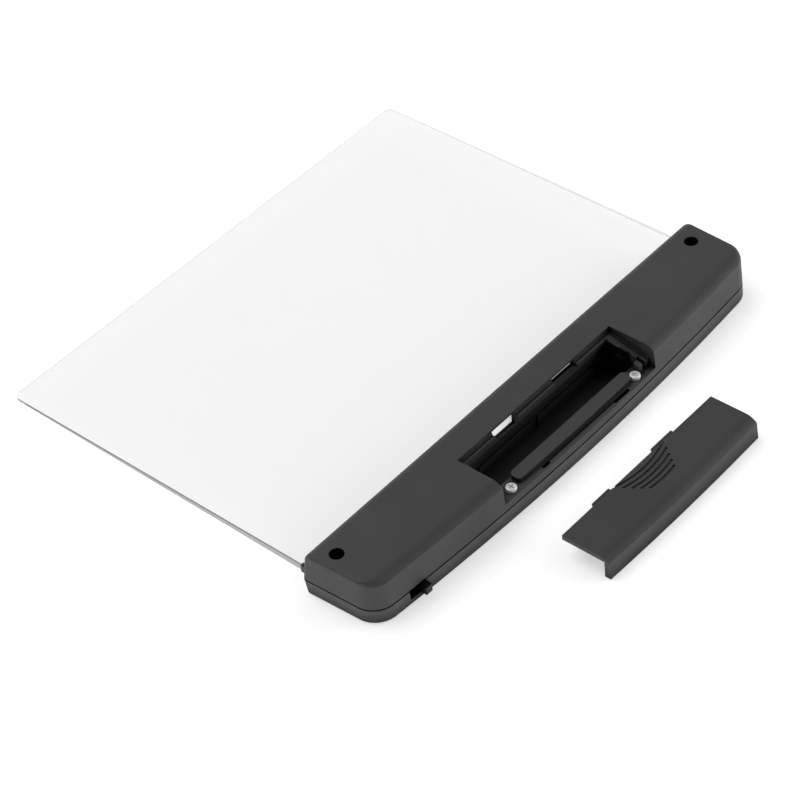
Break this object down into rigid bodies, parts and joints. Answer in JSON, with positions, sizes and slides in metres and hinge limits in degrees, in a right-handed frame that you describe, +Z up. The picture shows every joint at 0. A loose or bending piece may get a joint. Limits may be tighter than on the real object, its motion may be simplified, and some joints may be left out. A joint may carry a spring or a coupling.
{
  "type": "edge-lit reading light panel",
  "caption": "Clear wedge light panel held in a slim battery bar with a slide switch and a battery cover that slides off.",
  "frame": {"origin": "on the battery bar's flat underside, midway between the end screws, on the table", "axes": "+X along the bar from its switch end to its other end, +Y from the bar towards the clear panel's far edge, +Z up, the side that the battery bay opens on"},
  "size_m": [0.1807, 0.1904, 0.0159],
  "materials": {
    "shell_plastic": "fine satin texture",
    "cover_plastic": "fine satin texture",
    "clear_acrylic": "polished clear",
    "foam": "closed-cell foam",
    "zinc_screw": "zinc plated",
    "nickel_screw": "bright nickel plated",
    "white_board": "white solder mask",
    "led_package": "white package, pale yellow phosphor",
    "resistor_ceramic": "black ceramic body",
    "white_tape": "white film",
    "contact_metal": "nickel-tarnished brass strip",
    "spring_wire": "nickel plated wire",
    "red_insulation": "PVC insulation",
    "black_insulation": "PVC insulation",
    "yellow_insulation": "PVC insulation",
    "switch_steel": "tin plated steel",
    "brown_phenolic": "phenolic board",
    "tin_pins": "tinned",
    "black_nylon": "moulded nylon",
    "copper_clip": "copper strip"
  },
  "bodies": {
    "bar": {"upper_shell": "shell_plastic", "lower_shell": "shell_plastic", "light_panel": "clear_acrylic", "end_screws": "zinc_screw", "bay_screws": "nickel_screw", "led_board": "white_board", "leds": "led_package", "chip_resistors": "resistor_ceramic", "reflector_tape": "white_tape", "positive_contact": "contact_metal", "negative_plate": "contact_metal", "negative_spring": "spring_wire", "red_wire": "red_insulation", "black_wire": "black_insulation", "board_leads": "yellow_insulation", "switch_can": "switch_steel", "switch_base": "brown_phenolic", "switch_terminals": "tin_pins"},
    "switch": {"switch_knob": "black_nylon", "switch_wiper": "copper_clip"},
    "cover": {"battery_cover": "cover_plastic", "cover_pad": "foam"}
  },
  "joints": [
    {"name": "switch_slide", "type": "slide", "parent": "bar", "child": "switch", "axis": [-1, 0, 0], "range_m": [0, 0.0036]},
    {"name": "cover_slide", "type": "slide", "parent": "bar", "child": "cover", "axis": [0, 0.9767, 0.2146], "range_m": [0, 0.03891]}
  ]
}
